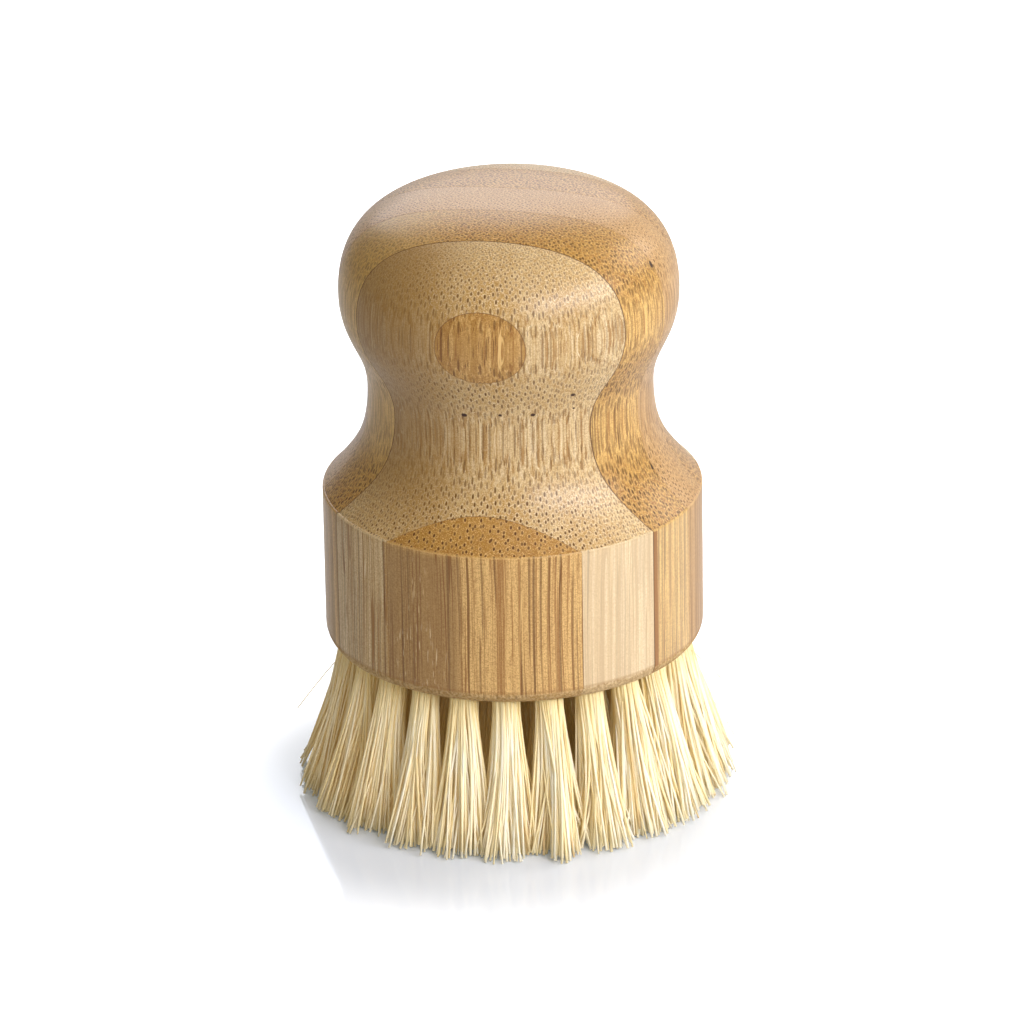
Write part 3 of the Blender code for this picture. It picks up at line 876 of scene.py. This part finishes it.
def fibre_mesh(name, chance, paths, radii):
    """Square rods along paths: each ring has four corners at the fibre's radius, across its direction."""
    along = unit(np.gradient(paths, axis=1))
    spin = chance.uniform(0, np.pi, len(paths))
    first = unit(np.cross(along, np.stack([np.cos(spin), np.sin(spin), 0 * spin], 1)[:, None]))
    second = np.cross(along, first)
    radius = (radii[:, None] * np.linspace(1.0, TAPER, paths.shape[1]))[..., None, None]
    corners = np.cos(SQUARE)[:, None] * first[:, :, None] + np.sin(SQUARE)[:, None] * second[:, :, None]
    points = paths[:, :, None] + corners * radius
    fibres, rings, sides, _ = points.shape
    ring = np.arange(rings - 1)[:, None] * sides
    here, after = np.arange(sides), (np.arange(sides) + 1) % sides
    walls = np.stack([ring + here, ring + after, ring + after + sides, ring + here + sides], 2)
    last = (rings - 1) * sides
    one = np.vstack([walls.reshape(-1, 4), [[3, 2, 1, 0]], [[last, last + 1, last + 2, last + 3]]])
    faces = (one[None] + np.arange(fibres)[:, None, None] * rings * sides).reshape(-1, 4)
    mesh = bpy.data.meshes.new(name)
    mesh.from_pydata((points.reshape(-1, 3) * MM).tolist(), [], faces.tolist())
    own = np.stack([
        np.broadcast_to(chance.random(fibres)[:, None, None], (fibres, rings, sides)),
        np.broadcast_to(np.linspace(0, 1, rings)[None, :, None], (fibres, rings, sides)),
    ], 3).reshape(-1, 2)
    mesh.uv_layers.new(name="fibre").data.foreach_set("uv", own[faces.ravel()].astype(np.float32).ravel())
    mesh.shade_smooth()
    mesh.set_sharp_from_angle(angle=SHARP_IN_FIBRE)
    return mesh


dice = np.random.default_rng(2024)
tuft_pieces = []
for name, ring, centre in tufts:
    paths, radii = fibre_paths(dice, centre, FIBRES_IN_TUFT[ring])
    mesh = fibre_mesh(name + "_fibres", dice, paths, radii)
    tuft_pieces.append((ring, add_piece(name + "_fibres", mesh, [name])))
print(f"{sum(FIBRES_IN_TUFT[ring] for _, ring, _ in tufts)} fibres in {len(tufts)} tufts")

# %% [markdown]
# Stray hairs
#
# A few fibres have sprung out of the outer ring. They are made by the same function as the rest, along bent
# paths given one by one.

# %% Stray hairs
HAIR_RADIUS = 0.075


def bent_hair(start, middle, end):
    """Points of the curve (1-t)^2 start + 2t(1-t) middle + t^2 end, as many as a fibre has stations."""
    t = np.linspace(0, 1, len(STATIONS))[:, None]
    return (1 - t) ** 2 * np.array(start) + 2 * t * (1 - t) * np.array(middle) + t**2 * np.array(end)


def beside(across, height, toward):
    """A point by its distance to the right of the axis and towards the camera, as the camera sees it."""
    flat = Vector((back.x, back.y, 0.0)).normalized()
    spot = right * across + flat * toward
    return (spot.x, spot.y, height)


hairs = np.array([
    bent_hair(beside(-21.8, 21.4, 3), beside(-25.3, 18.0, 3), beside(-30.2, 11.6, 4)),
    bent_hair(beside(-22.0, 18.0, 6), beside(-26.6, 9.5, 6), beside(-28.6, 3.4, 6)),
    bent_hair(beside(22.0, 20.6, 2), beside(27.4, 15.6, 2), beside(31.5, 10.6, 3)),
    bent_hair(beside(22.6, 14.0, -4), beside(28.0, 8.0, -4), beside(30.2, 2.6, -4)),
])
hair_mesh = fibre_mesh("stray_hairs", dice, hairs, np.full(len(hairs), HAIR_RADIUS))
stray_hairs = add_piece("stray_hairs", hair_mesh, [])
print(f"{len(hairs)} stray hairs")

# %% [markdown]
# Fibre material
#
# The fibres are ivory with a satin gloss. Each has its own tint, from nearly white to straw, and a rare one
# is rust brown. Those on the left of the brush are a little darker and more like honey, as painted shade away
# from the main lamp, and every fibre has painted shade towards its root. The inner rings have a darker copy
# of the fibre, painted shade from the outer ring. Real fibres let some light through. A translucent or
# subsurface shader would be the first choice, but thousands of rods that overlap turn dark and grey with it,
# so a faint warm glow of painted light takes its place.

# %% Fibre material
RUST, LEFT_SHADE_HONEY = (0.78, 0.55, 0.26), (0.80, 0.61, 0.27)
LEFT_SHADE_FROM, LEFT_SHADE_TO, LEFT_SHADE_SHARE = 4 * MM, -24 * MM, 0.4
TINT_SPREAD = 7.31
STREAKS_PER_METRE = (1600, 60)
PAINTED_ROOT_SHADE = (0.5, 0.12)
PAINTED_GLOW_TINT = (0.98, 0.66, 0.24, 1.0)


def fibre_material(name, pale, straw, root, painted_glow):
    """Plant fibre with a tint for each fibre, fine streaks along it, painted shade at the left and root, and
    a painted glow.
    """
    material, shader, start = new_material(name)
    uv = start.node("UVMap", {"uv_map": "fibre"})
    own, along = uv.part("X") * TINT_SPREAD, uv.part("Y")
    cream = [0.5 * (a + b) for a, b in zip(pale, straw)]
    stops = [(0.0, pale), (0.45, cream), (0.9, straw), (0.99, RUST)]
    tint = start.node("ValToRGB", {"stops": stops}, {0: own.math("FRACT", own)})
    place = start.node("TexCoord", output="Object")
    streak = noise(place, *STREAKS_PER_METRE)
    colour = (streak.smooth(0.4, 0.7) * 0.35).choose(tint, straw)
    # Painted shade: fibres on the left, away from the main lamp, are darker and more golden.
    colour = (place.part("X").smooth(LEFT_SHADE_FROM, LEFT_SHADE_TO) * LEFT_SHADE_SHARE).choose(colour, LEFT_SHADE_HONEY)
    # Painted shade towards the root of each fibre, under the knob.
    colour = along.smooth(*PAINTED_ROOT_SHADE).choose(colour, root)
    bump = start.node("Bump", None, {"Strength": 0.3, "Distance": 0.04 * MM, "Height": streak})
    # Painted light: a faint warm glow stands in for light that passes through the fibres.
    feed(shader, Base_Color=colour, Roughness=0.36, Normal=bump, Specular_IOR_Level=0.18,
         Emission_Color=PAINTED_GLOW_TINT, Emission_Strength=painted_glow)
    return material


outer_fibre = fibre_material("outer_fibre", (0.99, 0.94, 0.77), (0.96, 0.79, 0.42), (0.92, 0.72, 0.32), 0.038)
# Painted shade: the inner rings' copy is darker, with a darker root and less glow, as the outer ring shades
# them.
inner_fibre = fibre_material("inner_fibre", (0.93, 0.82, 0.52), (0.88, 0.70, 0.36), (0.60, 0.36, 0.12), 0.020)
for ring, piece in tuft_pieces:
    piece.data.materials.append(outer_fibre if ring == 0 else inner_fibre)
stray_hairs.data.materials.append(outer_fibre)
print(f"{len(tuft_pieces) + 1} pieces of fibre have their material")

# %% [markdown]
# The table
#
# The brush stands on a glossy white table. Near the brush the table is lit by the lamps, with only a faint
# blue light of its own for the camera that paints its shadow bluer, so it keeps the shadow and a faint mirror
# image.
# Farther out it has a light of its own for the camera and runs into the white. From below it is clear, so
# that the underside can be looked at.

# %% Table
WHITE = (1.0, 1.0, 1.0)
TABLE_HALF, TABLE_DROP = 1.5, -0.1 * MM
LIT_NEAR, LIT_FAR = (0.027, 0.047), (0.07, 0.25)
NEAR_PAINTED_BLUE = (0.01, 0.035, 0.06)


def staged(name, points, faces, material):
    """A mesh that belongs to the stage and not to the brush."""
    mesh = bpy.data.meshes.new(name)
    mesh.from_pydata(points, [], faces)
    mesh.materials.append(material)
    thing = placed(name, mesh)
    return thing


table_look, table_shader, start = new_material("white_table")
away = start.node("TexCoord", output="Object").moved((0.001, 0.009, 0.0)).length()
fade = away.smooth(*LIT_NEAR) * 0.45 + away.smooth(*LIT_FAR) * 0.55
fade = fade * start.node("LightPath", output="Is Camera Ray")
# Near the brush the camera sees a faint blue light of the table's own, which paints its shadow bluer.
feed(table_shader, Base_Color=(0.77, 0.78, 0.79, 1.0), Roughness=0.11, Emission_Strength=1.0,
     Emission_Color=fade.choose(NEAR_PAINTED_BLUE, WHITE))
both = start.node("MixShader", None, {
    0: start.node("NewGeometry", output="Backfacing"),
    1: Signal(table_look.node_tree, table_shader.outputs[0]),
    2: start.node("BsdfTransparent"),
})
both.into(table_look.node_tree.nodes["Material Output"].inputs["Surface"])
square = ((-1, -1), (1, -1), (1, 1), (-1, 1))
corners = [(x * TABLE_HALF, y * TABLE_HALF, TABLE_DROP) for x, y in square]
staged("table", corners, [(0, 1, 2, 3)], table_look)
print(f"table {2 * TABLE_HALF:.0f} m square")

# %% [markdown]
# The backdrop
#
# A tall white screen stands in an arc behind the brush. The lacquer mirrors it at the edges of the knob, but
# it lights nothing and throws no shadow, so the lamps alone set how bright the brush is.

# %% Backdrop
BACKDROP_RADIUS, BACKDROP_HEIGHTS = 1.4, (-0.2, 1.4)

white_look, white_shader, _ = new_material("white_backdrop")
feed(white_shader, Base_Color=(0.0, 0.0, 0.0, 1.0), Emission_Color=(*WHITE, 1.0), Emission_Strength=1.0)
bend = np.radians(np.linspace(135, 222, 25))
arc = np.stack([np.sin(bend), -np.cos(bend)], 1) * BACKDROP_RADIUS
wall_points = [(x, y, z) for z in BACKDROP_HEIGHTS for x, y in arc]
backdrop = staged("backdrop", wall_points, grid_faces(2, len(arc)).tolist(), white_look)
backdrop.visible_diffuse = backdrop.visible_shadow = False
print(f"backdrop with {len(backdrop.data.polygons)} faces")

# %% [markdown]
# The room
#
# A photographer's room is white all round and gives a little light from every side. The world does the same:
# it is weak and warm as a light, and white for the camera alone.

# %% Room
AMBIENT, WARM = 0.21, (1.0, 0.88, 0.66)

room = bpy.data.worlds.new("white_room")
room.use_nodes = True
bpy.context.scene.world = room
seen = Signal(room.node_tree).node("LightPath", output="Is Camera Ray")
surroundings = room.node_tree.nodes["Background"]
seen.choose(WARM, WHITE).into(surroundings.inputs["Color"])
(AMBIENT + seen * (1 - AMBIENT)).into(surroundings.inputs["Strength"])
print(f"room light {AMBIENT}")

# %% [markdown]
# The lamps
#
# The main lamp is a long low soft box on the right, so the left side gets about half of the light. Two boxes
# behind the brush give the sides of the knob a pale edge, a weak one on the left keeps the shade open, and
# one from above lights the shoulder and the crown. They are area lamps, because soft light needs a large
# source. The left and the top one aren't mirrored, because the lacquer would show them as a pale veil on dark
# planks.

# %% Soft boxes
def soft_box(name, azimuth, elevation, distance, size, power, tint=WHITE, mirrored=True):
    """An area lamp, size wide and high, that looks at the brush; azimuth 0 is in front, 90 on the right."""
    a, e = math.radians(azimuth), math.radians(elevation)
    away = Vector((math.sin(a) * math.cos(e), -math.cos(a) * math.cos(e), math.sin(e)))
    light = bpy.data.lights.new(name, "AREA")
    light.color = tint
    light.shape, (light.size, light.size_y), light.energy = "RECTANGLE", size, power
    lamp = placed(name, light)
    lamp.visible_camera, lamp.visible_glossy = False, mirrored
    lamp.matrix_world = Matrix.LocRotScale(LOOK_AT + away * distance, away.to_track_quat("Z", "Y"), None)


soft_box("main_soft_box", 57, 28, 0.75, (0.80, 0.26), 5.9, tint=(1.0, 1.035, 1.19))
soft_box("back_soft_box", 194, 27, 0.90, (0.80, 0.40), 2.5, tint=(0.96, 1.0, 1.12))
soft_box("side_soft_box", 128, 30, 0.90, (0.40, 0.40), 2.7)
soft_box("left_soft_box", -118, 12, 1.00, (0.80, 0.60), 0.85, tint=(1.0, 0.93, 0.78), mirrored=False)
soft_box("top_soft_box", 20, 60, 1.00, (0.60, 0.60), 2.4, mirrored=False)
print({light.name: round(light.energy, 2) for light in bpy.data.lights})

# %% [markdown]
